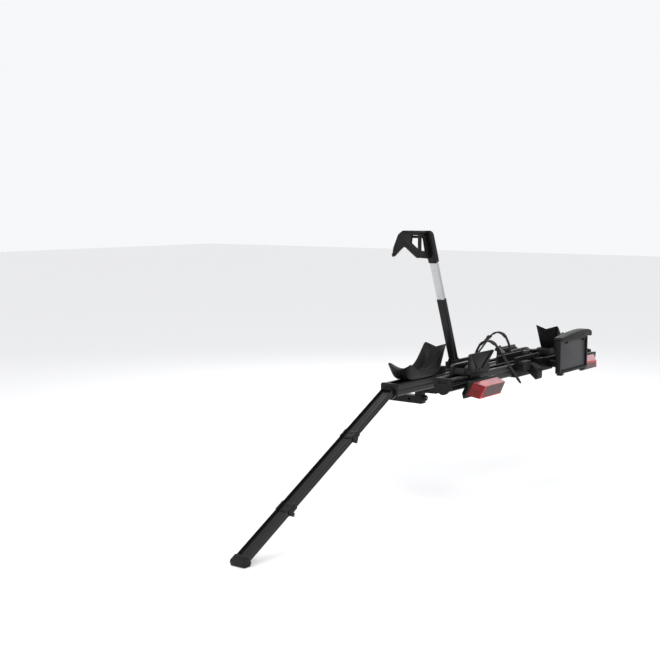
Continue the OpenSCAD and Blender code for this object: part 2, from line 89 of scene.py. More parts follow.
# A yoke head is drawn upright in the first rail's frame, then leans with its arm
HEAD = [
    ARM[k] @ Matrix.Translation(
        (0, 0, SHIFT[k])
    ) @ Matrix.Rotation(LEAN_UP, 4, "Y") @ Matrix.Translation(-PIVOT)
    for k in (0, 1)
]
# The ramp's frame: its hook at the origin and its sections along -X
along = (joint_at("ramp_fold_1") - joint_at("ramp_fold_2")).normalized()
RAMP = Matrix.Translation(joint_at("ramp_hook")) @ Matrix.Rotation(math.atan2(-along.z, along.x), 4, "Y")
RAMP_FOLD = [-(RAMP.inverted() @ joint_at(f"ramp_fold_{n}")).x for n in (1, 2)]


# ---------------------------------------------------------------- materials
def material(name, color, rough, metal=0.0, grain=0.0, grain_scale=900.0, coat=0.0, spread=0.0, spec=0.5):
    """A surface with a fine grain bump and a slow drift of its colour, by the share in spread."""
    m = bpy.data.materials.new(name)
    m.use_nodes = True
    nt = m.node_tree
    b = nt.nodes["Principled BSDF"]
    b.inputs["Base Color"].default_value = (*color, 1)
    b.inputs["Roughness"].default_value = rough
    b.inputs["Metallic"].default_value = metal
    b.inputs["Coat Weight"].default_value = coat
    b.inputs["Coat Roughness"].default_value = 0.06
    b.inputs["Specular IOR Level"].default_value = spec
    co = nt.nodes.new("ShaderNodeTexCoord")
    if grain:
        n = nt.nodes.new("ShaderNodeTexNoise")
        n.inputs["Scale"].default_value = grain_scale
        n.inputs["Detail"].default_value = 3
        bump = nt.nodes.new("ShaderNodeBump")
        bump.inputs["Strength"].default_value = grain
        bump.inputs["Distance"].default_value = 0.0006
        nt.links.new(co.outputs["Object"], n.inputs["Vector"])
        nt.links.new(n.outputs["Fac"], bump.inputs["Height"])
        nt.links.new(bump.outputs["Normal"], b.inputs["Normal"])
    if spread:
        n2 = nt.nodes.new("ShaderNodeTexNoise")
        n2.inputs["Scale"].default_value = 14
        n2.inputs["Detail"].default_value = 5
        ramp = nt.nodes.new("ShaderNodeValToRGB")
        ramp.color_ramp.elements[0].position = 0.35
        ramp.color_ramp.elements[1].position = 0.7
        lo = [c * (1 - spread) for c in color]
        hi = [min(1.0, c * (1 + spread)) for c in color]
        ramp.color_ramp.elements[0].color = (*lo, 1)
        ramp.color_ramp.elements[1].color = (*hi, 1)
        nt.links.new(co.outputs["Object"], n2.inputs["Vector"])
        nt.links.new(n2.outputs["Fac"], ramp.inputs["Fac"])
        nt.links.new(ramp.outputs["Color"], b.inputs["Base Color"])
    return m


MAT = {
    "powder_black": material(
        "powder_black", (0.0035, 0.0035, 0.004), 0.38, grain=0.3, grain_scale=1400, spread=0.15, spec=0.16,
    ),
    "anodised_black": material(
        "anodised_black", (0.004, 0.004, 0.0045), 0.27, grain=0.1, grain_scale=2200, spread=0.15, spec=0.24,
    ),
    "anodised_silver": material(
        "anodised_silver", (0.46, 0.47, 0.48), 0.34, metal=0.85, grain=0.12, grain_scale=1800, spread=0.05,
        spec=0.5,
    ),
    "zinc_steel": material(
        "zinc_steel", (0.42, 0.42, 0.44), 0.3, metal=1.0, grain=0.2, grain_scale=900, spread=0.1, spec=0.5,
    ),
    "rubber_black": material(
        "rubber_black", (0.005, 0.005, 0.005), 0.55, grain=0.4, grain_scale=1300, spread=0.15, spec=0.2,
    ),
    "plastic_grey": material(
        "plastic_grey", (0.055, 0.056, 0.058), 0.42, grain=0.3, grain_scale=1500, spread=0.08, spec=0.35,
    ),
    "plate_dark_grey": material(
        "plate_dark_grey", (0.028, 0.028, 0.03), 0.4, grain=0.08, grain_scale=1200, spread=0.06, spec=0.3,
    ),
    "plastic_black": material(
        "plastic_black", (0.0035, 0.0035, 0.004), 0.4, grain=0.45, grain_scale=1500, spread=0.15, spec=0.17,
    ),
    "lens_red": material("lens_red", (0.17, 0.001, 0.003), 0.12, coat=0.15, spread=0.55, spec=0.3),
    # Pale pink lens colour: a painted highlight for the lamps' top facets, where the light from above falls
    "lens_top_painted_highlight": material("lens_top_painted_highlight", (0.42, 0.07, 0.08), 0.12, coat=0.9, spread=0.3, spec=0.5),
    # Dark red lens colour: the lamps' own dark fronts, and painted shade on their undersides
    "lens_dark_and_underside_shade": material("lens_dark_and_underside_shade", (0.05, 0.008, 0.01), 0.14, coat=0.3, spread=0.2, spec=0.4),
    "guide_red": material("guide_red", (0.5, 0.006, 0.012), 0.2, coat=0.2, spread=0.1, spec=0.4),
}

# ---------------------------------------------------------------- mesh helpers
def finish_piece(o, node, mats=None, smooth=38.0, stands=True):
    """Gives a piece the material of its node's slot, its shading and its body; with stands it stands in for the
    CAD node.
    """
    slot = SLOTS[node]
    picked = [p.material_index for p in o.data.polygons]
    o.data.materials.clear()
    for m in mats or [MAT[slot]]:
        o.data.materials.append(m)
    for p, i in zip(o.data.polygons, picked):
        p.material_index = i if mats else 0
        p.use_smooth = True
    o.data.set_sharp_from_angle(angle=math.radians(smooth))
    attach(o, BODY[node])
    if stands:
        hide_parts(node)
    return o


def bevel(o, width, segments=3, angle=35.0):
    if width:
        m = o.modifiers.new("bevel", "BEVEL")
        m.width = width * MM
        m.segments = segments
        m.limit_method = "ANGLE"
        m.angle_limit = math.radians(angle)
        m.harden_normals = False
        m.use_clamp_overlap = True
    return o


def build(name, verts, faces, at=Matrix.Identity(4), face_mats=None):
    me = bpy.data.meshes.new(name)
    me.from_pydata([tuple((at @ Vector(v)) * MM) for v in verts], [], faces)
    me.validate()
    bm = bmesh.new()
    bm.from_mesh(me)
    bmesh.ops.recalc_face_normals(bm, faces=bm.faces)
    bm.to_mesh(me)
    bm.free()
    if face_mats:
        for p, i in zip(me.polygons, face_mats):
            p.material_index = i
    o = bpy.data.objects.new(name, me)
    bpy.context.scene.collection.objects.link(o)
    return o


def apply_mods(o):
    dg = bpy.context.evaluated_depsgraph_get()
    me = bpy.data.meshes.new_from_object(o.evaluated_get(dg))
    old = o.data
    o.modifiers.clear()
    o.data = me
    bpy.data.meshes.remove(old)
    return o


def join(name, parts):
    bpy.context.view_layer.update()
    bm = bmesh.new()
    for p in parts:
        apply_mods(p)
        bm.from_mesh(p.data)
    me = bpy.data.meshes.new(name)
    bm.to_mesh(me)
    bm.free()
    for p in parts:
        bpy.data.objects.remove(p)
    o = bpy.data.objects.new(name, me)
    bpy.context.scene.collection.objects.link(o)
    return o


def rounded(points, radius, n=5):
    """A closed outline with its corners rounded; radius is one number or one a corner."""
    out = []
    count = len(points)
    rs = radius if isinstance(radius, (list, tuple)) else [radius] * count
    for i in range(count):
        p, a, b = (Vector(points[j % count]) for j in (i, i - 1, i + 1))
        da, db = (a - p), (b - p)
        la, lb = da.length, db.length
        if rs[i] <= 0 or la < 1e-6 or lb < 1e-6:
            out.append(tuple(p))
            continue
        da, db = da / la, db / lb
        half = math.acos(max(-1, min(1, da.dot(db)))) / 2
        if half > math.pi / 2 - 0.02:
            out.append(tuple(p))
            continue
        cut = min(rs[i] / math.tan(half), la * 0.48, lb * 0.48)
        r = cut * math.tan(half)
        centre = p + (da + db).normalized() * (r / math.sin(half))
        s, e = p + da * cut - centre, p + db * cut - centre
        for j in range(n + 1):
            t = j / n
            v = s.lerp(e, t)
            v = v.normalized() * r if v.length > 1e-9 else v
            out.append(tuple(centre + v))
    return out


def prism(name, outline, a, b, axis, at=Matrix.Identity(4), holes=(), width=0.0, segments=3):
    """An outline extruded from a to b. Its points are (y, z), (x, z) or (x, y) for axis X, Y or Z."""
    def put(p, t):
        return {"X": (t, p[0], p[1]), "Y": (p[0], t, p[1]), "Z": (p[0], p[1], t)}[axis]

    bm = bmesh.new()
    edges, loops = [], []
    for line in [outline, *holes]:
        vs = [bm.verts.new(put(p, a)) for p in line]
        loops.append(vs)
        edges += [bm.edges.new((vs[i], vs[(i + 1) % len(vs)])) for i in range(len(vs))]
    if holes:
        bmesh.ops.triangle_fill(bm, use_beauty=True, use_dissolve=True, edges=edges)
    else:
        bm.faces.new(loops[0])
    near = list(bm.faces)
    far = {}
    for vs in loops:
        for v, p in zip(vs, [v.co.copy() for v in vs]):
            q = p.copy()
            q[{"X": 0, "Y": 1, "Z": 2}[axis]] = b
            far[v] = bm.verts.new(q)
    for f in near:
        bm.faces.new([far[v] for v in reversed(f.verts)])
    for vs in loops:
        for i in range(len(vs)):
            p, q = vs[i], vs[(i + 1) % len(vs)]
            bm.faces.new((p, q, far[q], far[p]))
    bmesh.ops.recalc_face_normals(bm, faces=bm.faces)
    for v in bm.verts:
        v.co = (at @ v.co) * MM
    me = bpy.data.meshes.new(name)
    bm.to_mesh(me)
    bm.free()
    o = bpy.data.objects.new(name, me)
    bpy.context.scene.collection.objects.link(o)
    return bevel(o, width, segments)


def block(name, low, high, at=Matrix.Identity(4), width=1.0, segments=3):
    (x0, y0, z0), (x1, y1, z1) = low, high
    vs = [(x, y, z) for x in (x0, x1) for y in (y0, y1) for z in (z0, z1)]
    fs = [(0, 1, 3, 2), (4, 6, 7, 5), (0, 4, 5, 1), (2, 3, 7, 6), (0, 2, 6, 4), (1, 5, 7, 3)]
    return bevel(build(name, vs, fs, at), width, segments)


def rings(name, sections, at=Matrix.Identity(4)):
    """A closed skin through sections of equally many points, with both ends capped."""
    n, last = len(sections[0]), len(sections) - 1
    verts = [p for section in sections for p in section]
    faces = []
    for i in range(last):
        for j in range(n):
            a, b = i * n + j, i * n + (j + 1) % n
            faces.append((a, b, b + n, a + n))
    faces.append(tuple(range(n - 1, -1, -1)))
    faces.append(tuple(last * n + j for j in range(n)))
    return build(name, verts, faces, at)


def subdivide(o, levels=2):
    m = o.modifiers.new("subsurf", "SUBSURF")
    m.levels = m.render_levels = levels
    return o


def rod(name, radius, a, b, at=Matrix.Identity(4), width=0.8, sides=40):
    a, b = Vector(a), Vector(b)
    d = (b - a).normalized()
    u = d.orthogonal().normalized()
    w = d.cross(u)
    turns = [2 * math.pi * i / sides for i in range(sides)]
    secs = [[tuple(p + (u * math.cos(t) + w * math.sin(t)) * radius) for t in turns] for p in (a, b)]
    return bevel(rings(name, secs, at), width, 3, 50)


def lathe(name, profile, centre, axis, at=Matrix.Identity(4), sides=48, lobes=0, depth=0.0):
    """A turned piece: profile is (distance along the axis, radius)."""
    d = Vector(axis).normalized()
    u = d.orthogonal().normalized()
    w = d.cross(u)
    c = Vector(centre)
    secs = []
    for t, r in profile:
        ring = []
        for i in range(sides):
            a = 2 * math.pi * i / sides
            rr = r - (depth * (0.5 - 0.5 * math.cos(lobes * a)) if lobes and r > depth * 3 else 0)
            ring.append(tuple(c + d * t + (u * math.cos(a) + w * math.sin(a)) * rr))
        secs.append(ring)
    return rings(name, secs, at)


def rect(x0, y0, x1, y1, r, n=5):
    return rounded([(x0, y0), (x1, y0), (x1, y1), (x0, y1)], r, n)


def round_rect(w, h, r, n=6):
    return rect(-w / 2, -h / 2, w / 2, h / 2, r, n)


def span(s, a, b):
    """The range a to b, or its mirror image when s is negative."""
    return (a, b) if s > 0 else (-b, -a)


def heading(line, i):
    """The direction of a line of points at point i."""
    return (line[min(i + 1, len(line) - 1)] - line[max(i - 1, 0)]).normalized()


def spline(points, per=6):
    """A smooth open line through points of any dimension."""
    out = []
    for i in range(len(points) - 1):
        p0, p1, p2, p3 = (Vector(points[max(0, min(len(points) - 1, j))]) for j in (i - 1, i, i + 1, i + 2))
        slope, bend, twist = p2 - p0, 2 * p0 - 5 * p1 + 4 * p2 - p3, 3 * p1 - p0 - 3 * p2 + p3
        for s in range(per):
            t = s / per
            out.append(0.5 * (2 * p1 + slope * t + bend * t * t + twist * t ** 3))
    out.append(Vector(points[-1]))
    return out


# ---------------------------------------------------------------- CAD nodes kept, with softened edges
KEPT = {
    "hitch_shank": 2.2, "tilt_post": 2.0, "tilt_pin": 1.2, "draw_rod": 0.8, "anti_rattle_wedge": 1.5,
    "spine": 4.0, "saddle_1": 2.0, "rail_bolts": 0.8, "arm_base_1": 1.6, "arm_base_2": 1.6, "arm_pins": 0.9,
    "lamp_brackets": 1.5, "plate_bracket": 1.5, "plate_clips": 1.0, "lever_pin": 0.8, "ramp_pins": 0.7,
    "release_button_1": 1.0, "release_button_2": 1.0,
}
SOFT_ANGLE = 32


def soften(node, slot, width, weld=True):
    """Material, shading and rounded edges for a CAD node that stays in sight."""
    o = NODES[node]
    o.data.materials.clear()
    o.data.materials.append(MAT[slot])
    for p in o.data.polygons:
        p.use_smooth = True
    o.data.set_sharp_from_angle(angle=math.radians(SOFT_ANGLE))
    if weld:
        o.modifiers.new("weld", "WELD").merge_threshold = 0.00002
    bevel(o, width, 3, SOFT_ANGLE)


for n, w in KEPT.items():
    soften(n, SLOTS[n], w)

# ---------------------------------------------------------------- wheel rails
for k in (0, 1):
    lo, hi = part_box(f"rail_{k + 1}")
    half, h = hi.x * 1000, (hi.z - lo.z) * 1000
    w = (hi.y - lo.y) * 500
    beam = rounded(
        [
            (29, 0), (w - 5, 0), (w, -6), (w, -29), (w - 2.6, -32), (w - 2.6, -37), (w, -40), (w, -h + 6),
            (w - 5, -h), (30, -h), (26, -h + 5), (26, -5),
        ],
        [3, 6, 6, 3, 1.2, 1.2, 3, 7, 7, 4, 4, 3], 4,
    )
    lip = rounded([(26, -3), (29, -3), (29, -6.5), (23.5, -6.5), (23.5, -4)], 0.8, 2)
    parts = []
    for s in (1, -1):
        for line in (beam, lip):
            parts.append(prism("side", [(s * y, z) for y, z in line], -half, half, "X", TRAY[k]))
    for z0, z1 in ((-38, -34), (-h + 3, -h + 7)):
        parts.append(prism("deck", [(-27, z0), (27, z0), (27, z1), (-27, z1)], -half, half, "X", TRAY[k]))
    for y in (-16, -5.5, 5.5, 16):
        parts.append(prism("rib", rect(y - 1.2, -34.2, y + 1.2, -32.6, 0.5, 2), -half, half, "X", TRAY[k]))
    finish_piece(join(f"wheel_rail_{k + 1}", parts), f"rail_{k + 1}", smooth=28)

# ---------------------------------------------------------------- end caps
for k in (0, 1):
    for side, s in (("left", -1), ("right", 1)):
        node = f"end_cap_{k + 1}_{side}"
        lo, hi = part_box(node)
        x0, x1 = (hi.x * 1000, lo.x * 1000) if s < 0 else (lo.x * 1000, hi.x * 1000)
        top = (hi.z * 1000) - TRAY[k].translation.z
        bottom = (lo.z * 1000) - TRAY[k].translation.z
        w = (hi.y - lo.y) * 500
        at = Matrix.Translation(TRAY[k].translation)
        outline = [(-w, top), (w, top), (w, -60), (38, -71)]
        # Rounded underside
        for a in [-0.5 - i * 0.36 for i in range(6)]:
            outline.append((38 * math.cos(a), -54 + (-54 - bottom) * math.sin(a)))
        outline += [(-38, -71), (-w, -60)]
        outline = rounded(outline, [11, 11, 16, 8, 0, 0, 0, 0, 0, 0, 8, 16], 6)
        slot = [(y, z - 24) for y, z in round_rect(54, 10.5, 4.5, 5)]
        mid = x1 - s * 7
        a = prism("face", outline, mid, x1, "X", at, holes=[slot], width=2.2)
        b = prism("back", outline, x0, mid, "X", at, width=0.6)
        finish_piece(join(f"{node}_cover", [a, b]), node, smooth=40)

# ---------------------------------------------------------------- front wheel scoops
TYRE_RADIUS = 377
AXLE_Z = 395  # height of a wheel's axle above the rail
SCOOP_X = -600  # along the rail
STATIONS = [
    # floor x, z | rim x, y, z | foot x, y, z
    (-770, 58, -774, 71, 88, -756, 47, 36),
    (-752, 48, -758, 75, 104, -742, 49, 18),
    (-724, 38, -730, 74, 96, -722, 51, 3),
    (-672, 27, -678, 69, 67, -672, 52, 0.4),
    (-620, 21, -624, 63, 52, -620, 52, 0.4),
    (-560, 22, -560, 62, 48, -560, 52, 0.4),
    (-500, 33, -494, 66, 74, -500, 52, 0.4),
    (-455, 50, -444, 71, 116, -452, 52, 0.4),
    (-420, 74, -402, 74, 158, -418, 51, 3),
    (-396, 106, -381, 75, 181, -396, 49, 40),
    (-378, 136, -370, 73, 183, -377, 47, 92),
    (-366, 158, -365, 66, 181, -366, 44, 132),
]


def scoop_section(st):
    """The whole section at a station: up the outside, over the rim and down to the floor, then mirrored."""
    fx, fz, tx, ty, tz, bx, by, bz = st
    f, t, b = Vector((fx, 0, fz)), Vector((tx, ty, tz)), Vector((bx, by, bz))
    out = Vector((0, 1, 0))
    half = [
        Vector((bx, 0, bz)), Vector((bx, by * 0.6, bz)), b,
        b.lerp(t, 0.3) + out * 2.2, b.lerp(t, 0.75) + out * 1.0,
        t + Vector((0, 0.2, -3.5)), t + Vector((0, -2.4, 0)), t + Vector((0, -6.4, -3.5)),
        Vector((fx, 30, fz + 7)).lerp(t, 0.55) + out * -4.2,
        Vector((fx, 34, fz + 12)), Vector((fx, 26, fz + 3.2)), Vector((fx, 14, fz + 0.6)), f,
    ]
    other = [Vector((p.x, -p.y, p.z)) for p in reversed(half[1:-1])]
    return [tuple(p) for p in half + other]


for k in (0, 1):
    at = TRAY[k]
    parts = [subdivide(rings("shell", [scoop_section(s) for s in STATIONS], at), 2)]
    # Foot block towards the middle of the rail
    foot = [(-424, 1), (-322, 1), (-322, 34), (-332, 44), (-398, 44), (-424, 60)]
    parts.append(prism("foot", rounded(foot, [2, 3, 6, 8, 8, 4], 5), -43, 43, "Y", at, width=3.0))
    # Ribs up the outer back of the scoop
    for y in (-36, -18, 0, 18, 36):
        z_top = 150 + abs(y) * 0.35
        rib = rounded([(-412, 30), (-398, 30), (-358.5, z_top), (-368, z_top + 4), (-404, 60)], 3, 3)
        parts.append(prism("rib", rib, y - 2.2, y + 2.2, "Y", at, width=0.8))
    # Ribs under the outer front
    rib = rounded([(-724, 2), (-752, 28), (-768, 52), (-760, 54), (-716, 14)], 2, 3)
    for y in (-30, -10, 10, 30):
        parts.append(prism("rib", rib, y - 2.0, y + 2.0, "Y", at, width=0.7))
    # Raised treads on the floor
    for i in range(7):
        a = math.radians(-22 + i * 7.4)
        r = TYRE_RADIUS + 0.5
        c = Vector((SCOOP_X + r * math.sin(a), 0, AXLE_Z - r * math.cos(a) + 1.5))
        m = at @ Matrix.Translation(c) @ Matrix.Rotation(-a, 4, "Y")
        parts.append(block("tread", (-3, -20, -3), (3, 20, 1.2), m, 1.2))
    finish_piece(join(f"wheel_scoop_{k + 1}", parts), f"front_scoop_{k + 1}", smooth=46)

# ---------------------------------------------------------------- rear wheel cradles
CRADLE_X = [600.0, 570.0]
WALL = [40.0, 102.0]  # height of each cradle's side wall
for k in (0, 1):
    at = TRAY[k] @ Matrix.Translation((CRADLE_X[k], 0, 0))
    parts = []
    angles = [math.radians(-18 + i * 3) for i in range(13)]
    bed = [(TYRE_RADIUS * math.sin(a), AXLE_Z - TYRE_RADIUS * math.cos(a)) for a in angles]
    parts.append(prism("bed", [(-122, 0.5), *bed, (122, 0.5)], -33, 33, "Y", at, width=1.5))
    for s in (1, -1):
        side = [(-122, 0.5), (122, 0.5), (122, 40), (96, 52), (-96, 52), (-122, 40)]
        side = rounded(side, [2, 2, 8, 12, 12, 8], 5)
        parts.append(prism("side", side, *span(s, 33, 58), "Y", at, width=3.0))
        for x in (-72, -24, 24, 72):
            parts.append(
                prism("recess", rect(x - 16, 12, x + 16, 38, 4, 3), *span(s, 57, 59.4), "Y", at, width=0.8)
            )
        skirt = [(-99, 1), (99, 1), (99, -14), (90, -20.8), (-90, -20.8), (-99, -14)]
        skirt = rounded(skirt, [0, 0, 4, 5, 5, 4], 4)
        parts.append(prism("skirt", skirt, *span(s, 52.7, 60), "Y", at, width=1.2))
    h = WALL[k]
    shape = [
        (-66, 1), (114, 1), (135, h - 18), (137, h - 6), (128, h), (-130, h), (-145, h - 6), (-138, h - 18),
    ]
    wall = rounded(shape, [4, 4, 6, 5, 6, 6, 5, 8], 5)
    m = at @ Matrix.Translation((0, 50, 20)) @ Matrix.Rotation(math.radians(-10), 4, "X")
    parts.append(prism("wall", wall, 0.5, 7.0, "Y", m, width=2.2))
    if k:
        # Folded facets of the tall wall
        ridge = [(-132, h - 6), (-112, h - 6), (-30, 6), (-46, 4)]
        parts.append(prism("ridge", rounded(ridge, 4, 3), 5, 12.5, "Y", m, width=3.4))
        facet = rounded([(106, h - 8), (26, 8), (16, 8), (-98, h - 8)], [10, 3, 3, 10], 4)
        parts.append(prism("facet", facet, 5, 9.4, "Y", m, width=2.6))
        side = rounded([(124, h - 6), (112, 6), (40, 6)], [6, 6, 6], 4)
        parts.append(prism("facet2", side, 5, 9.4, "Y", m, width=2.6))
    anchor = [(-152.5, 12.5), (-98, 12.5), (-98, 33), (-148, 33.6), (-152.5, 30)]
    parts.append(prism("anchor", rounded(anchor, [3, 1, 1, 3, 3], 4), -60, -46, "Y", at, width=1.6))
    finish_piece(join(f"wheel_cradle_{k + 1}", parts), f"rear_cradle_{k + 1}", smooth=40)

# ---------------------------------------------------------------- straps and buckles
STRAP_BACK = 137  # the strap's anchor from the middle of its cradle
STRAP_WIDTH = 28
BUCKLE = (112, 118)
BUCKLE_TILT = -46
ROUTE = [
    (-50, 34), (-47, 68), (-35, 104), (-18, 134), (4, 155), (32, 165), (58, 162), (84, 146), (112, 118),
    (150, 66), (200, 2), (246, -57),
]
for k in (0, 1):
    at = TRAY[k] @ Matrix.Translation((CRADLE_X[k] - STRAP_BACK, 0, 0))
    line = spline(ROUTE, 7)
    secs = []
    for i, p in enumerate(line):
        d = heading(line, i)
        nrm = Vector((-d.y, d.x))
        tip = 1.0 if i < len(line) - 4 else (0.97, 0.9, 0.76, 0.5)[i - len(line) + 4]
        secs.append([(u, *(p + nrm * v)) for u, v in round_rect(STRAP_WIDTH * tip, 3.8, 1.5, 3)])
    parts = [rings("band", secs, at)]
    # Pad that lies on the rim
    pad = spline(ROUTE[3:8], 7)
    secs = []
    for i, p in enumerate(pad):
        d = heading(pad, i)
        nrm = Vector((-d.y, d.x))
        t = i / (len(pad) - 1)
        fat = 10.0 * min(1.0, 0.55 + 4 * min(t, 1 - t))
        secs.append([(u, *(p + nrm * v)) for u, v in round_rect(STRAP_WIDTH + 4, fat, 2.2, 4)])
    parts.append(bevel(rings("pad", secs, at), 0.8, 2, 40))
    # Cross teeth on the outer face of the strap
    run, last = 0.0, line[0]
    for i, p in enumerate(line[:-3]):
        run += (p - last).length
        last = p
        if run < 7.0 or i < 6 or p.y > 134:
            continue
        run = 0.0
        d = heading(line, i)
        m = at @ Matrix(((1, 0, 0, 0), (0, d.x, -d.y, p.x), (0, d.y, d.x, p.y), (0, 0, 0, 1)))
        parts.append(block("tooth", (-10, -1.2, 1.2), (10, 1.2, 2.7), m, 0.5, 2))
    # Buckle frame round the strap, then the lever in it
    rm = at @ Matrix.Translation((0, *BUCKLE)) @ Matrix.Rotation(math.radians(BUCKLE_TILT), 4, "X")
    for s in (1, -1):
        cheek = rounded([(-26, -4), (8, -4), (8, 6), (-8, 14), (-26, 14)], [3, 3, 4, 5, 6], 4)
        parts.append(prism("cheek", cheek, *span(s, 13.6, 17), "X", rm, width=0.8))
    parts.append(block("base", (-14, -26, -3.9), (14, 8, -1.7), rm, 0.8))
    finish_piece(join(f"tyre_strap_{k + 1}", parts), f"strap_{k + 1}", smooth=40)
    side = rounded(
        [(-21.5, 3.3), (8, 3.3), (26, 4), (26, 8), (20, 11.8), (4, 10.5), (-12, 11), (-21.5, 10)],
        [2, 3, 2, 3, 3, 3, 2, 3], 4,
    )
    lever = [prism("blade", side, -12, 12, "X", rm, width=1.2)]
    tab = rounded([(10, 4.2), (26, 4.2), (26, 9), (18, 11.9), (10, 10)], 2, 4)
    lever.append(prism("tab", tab, -17, 17, "X", rm, width=1.4))
    for y in (12.5, 16.5, 20.5):
        lever.append(block("grip", (-13, y - 0.8, 9.5), (13, y + 0.8, 12.0), rm, 0.5, 2))
    lever.append(rod("pin", 3.0, (-18, -20, 7.5), (18, -20, 7.5), rm, 0.6, 24))
    finish_piece(join(f"ratchet_lever_{k + 1}", lever), f"buckle_lever_{k + 1}", smooth=40)

# ---------------------------------------------------------------- support arms
SLEEVE_END = 485.0
TUBE_FROM, TUBE_TO = 345.0, 800.0
TUBE = [
    (-14, -22), (14, -22), (14, -6), (12.6, -4.5), (12.6, 4.5), (14, 6),
    (14, 22), (-14, 22), (-14, 6), (-12.6, 4.5), (-12.6, -4.5), (-14, -6),
]


def level(outline, z):
    return [(x, y, z) for x, y in outline]


for k in (0, 1):
    at = ARM[k]
    w, d, wt, dt = 34.0, 50.0, 28.0, 44.0
    end = SLEEVE_END
    outer, inner = round_rect(w, d, 7, 6), round_rect(wt + 1, dt + 1, 4.5, 6)
    secs = [
        level(outer, 26), level(outer, end - 1.5), level(round_rect(w - 2, d - 2, 6.4, 6), end),
        level(inner, end), level(inner, end - 30),
    ]
    parts = [rings("sleeve", secs, at)]
    parts.append(rod("hub", 17, (0, -25, 0), (0, 25, 0), at, 1.5, 48))
    parts.append(rings("neck", [level(round_rect(w - 2, d - 0.4, 8, 6), z) for z in (0, 33)], at))
    finish_piece(join(f"arm_sleeve_{k + 1}_tube", parts), f"arm_sleeve_{k + 1}", smooth=35)
    # Collar: how much wider and deeper than the sleeve, corner radius, height
    steps = [
        (2.5, 9, 9, 32), (8, 14, 10, 36), (8, 14, 10, 86), (6, 12, 9, 92), (1.5, 6, 8, 96), (0.4, 0.4, 7, 96),
    ]
    secs = [level(round_rect(w + dw, d + dd, r, 7), z) for dw, dd, r, z in steps]
    parts = [bevel(rings("collar", secs, at), 0.8, 2, 20)]
    for s in (1, -1):
        parts.append(
            prism("pad", rect(-12, 44, 12, 80, 4, 4), *span(s, d / 2 + 6.4, d / 2 + 7), "Y", at, width=0.3)
        )
    finish_piece(join(f"arm_collar_{k + 1}_cover", parts), f"arm_collar_{k + 1}", smooth=35)
    tube = rounded(TUBE, [4, 4, 1, 1, 1, 1] * 2, 4)
    o = prism("tube", tube, TUBE_FROM + SHIFT[k], TUBE_TO + SHIFT[k], "Z", at)
    finish_piece(join(f"inner_tube_{k + 1}", [o]), f"arm_tube_{k + 1}", smooth=30)

# ---------------------------------------------------------------- yoke heads
PX, PT = -728.0, 18.0  # face and thickness of the plate with the arch
TOP, LEG_TOP = 850.0, 888.0
for k in (0, 1):
    at = HEAD[k]
    am = ARM[k] @ Matrix.Translation((0, 0, SHIFT[k]))
    outline = rounded(
        [
            (76, 700), (68, 752), (37, 826), (8, 848), (-110, 849.5), (-110, 698), (-88, 698), (-42, 733),
            (-16, 753), (-4, 759), (8, 753), (24, 741), (64, 702),
        ],
        [3, 30, 22, 8, 8, 6, 14, 30, 14, 10, 14, 20, 4], 6,
    )
    window = rounded([(-56, 824), (-50, 780), (-100, 742), (-103, 824)], [5, 6, 5, 7], 5)
    parts = [prism("plate", outline, PX + 2.2, PX + PT, "X", at, holes=[window], width=2.4)]
    # Thick rim round the arch
    rim = spline([(68, 702), (26, 741), (8, 754), (-4, 759), (-16, 754), (-44, 732), (-90, 698)], 4)
    headings = [heading(rim, i) for i in range(len(rim))]
    outer_rim = [p + Vector((d.y, -d.x)) * 17 for p, d in zip(rim, headings)]
    band = [tuple(p) for p in rim] + [tuple(p) for p in reversed(outer_rim)]
    parts.append(prism("rim", band, PX, PX + PT + 9, "X", at, width=3.4))
    # Side wall to the arm with its window, top bar and short outer wall
    side = rounded(
        [(PX + 3, 700), (PX + 3, TOP - 2), (-644, 836), (-628, 822), (-600, 760), (-592, 700), (-618, 690)],
        [8, 8, 6, 8, 6, 4, 8], 5,
    )
    side_window = rounded([(-705, 822), (-682, 820), (-655, 734), (-705, 738)], [4, 6, 4, 4], 4)
    parts.append(prism("side", side, -109.3, -96, "Y", at, holes=[side_window], width=2.6))
    parts.append(block("bar", (PX + 0.4, -121.5, 835), (-655, 7, TOP - 0.3), at, 3.4))
    outer = rounded([(PX + 3, 790), (PX + 3, 822), (-650, 820), (-640, 800)], 4, 4)
    parts.append(prism("outer", outer, 20, 34, "Y", at, width=2.6))
    parts.append(block("inner_bar", (-656, -96, 806), (-642, 34, 820), at, 3.0))
    corner = rounded(
        [(-662, 832), (-662, TOP - 0.6), (-648, TOP - 0.6), (-623, 839), (-628, 816), (-644, 806)],
        [2, 4, 8, 8, 6, 4], 5,
    )
    parts.append(prism("corner", corner, -133.5, -90, "Y", at, width=3.0))
    # Leg round the tube
    leg_o, leg_i = round_rect(40, 54, 8, 6), round_rect(28.4, 44.4, 4, 6)
    secs = [
        level(leg_i, 735), level(leg_i, 715.2), level(round_rect(37, 51, 7, 6), 715), level(leg_o, 718),
        level(leg_o, LEG_TOP - 7), level(round_rect(35, 49, 6, 6), LEG_TOP - 1.5),
        level(round_rect(30, 44, 5, 6), LEG_TOP - 0.2),
    ]
    parts.append(rings("leg", secs, am))
    for z in (742, 752, 762):
        for s in (1, -1):
            parts.append(
                prism("grip", rect(-12, z - 2, 12, z + 2, 1.5, 3), *span(s, 26.2, 27.0), "Y", am, width=0.4)
            )
    finish_piece(join(f"tyre_yoke_{k + 1}", parts), f"yoke_head_{k + 1}", smooth=40)

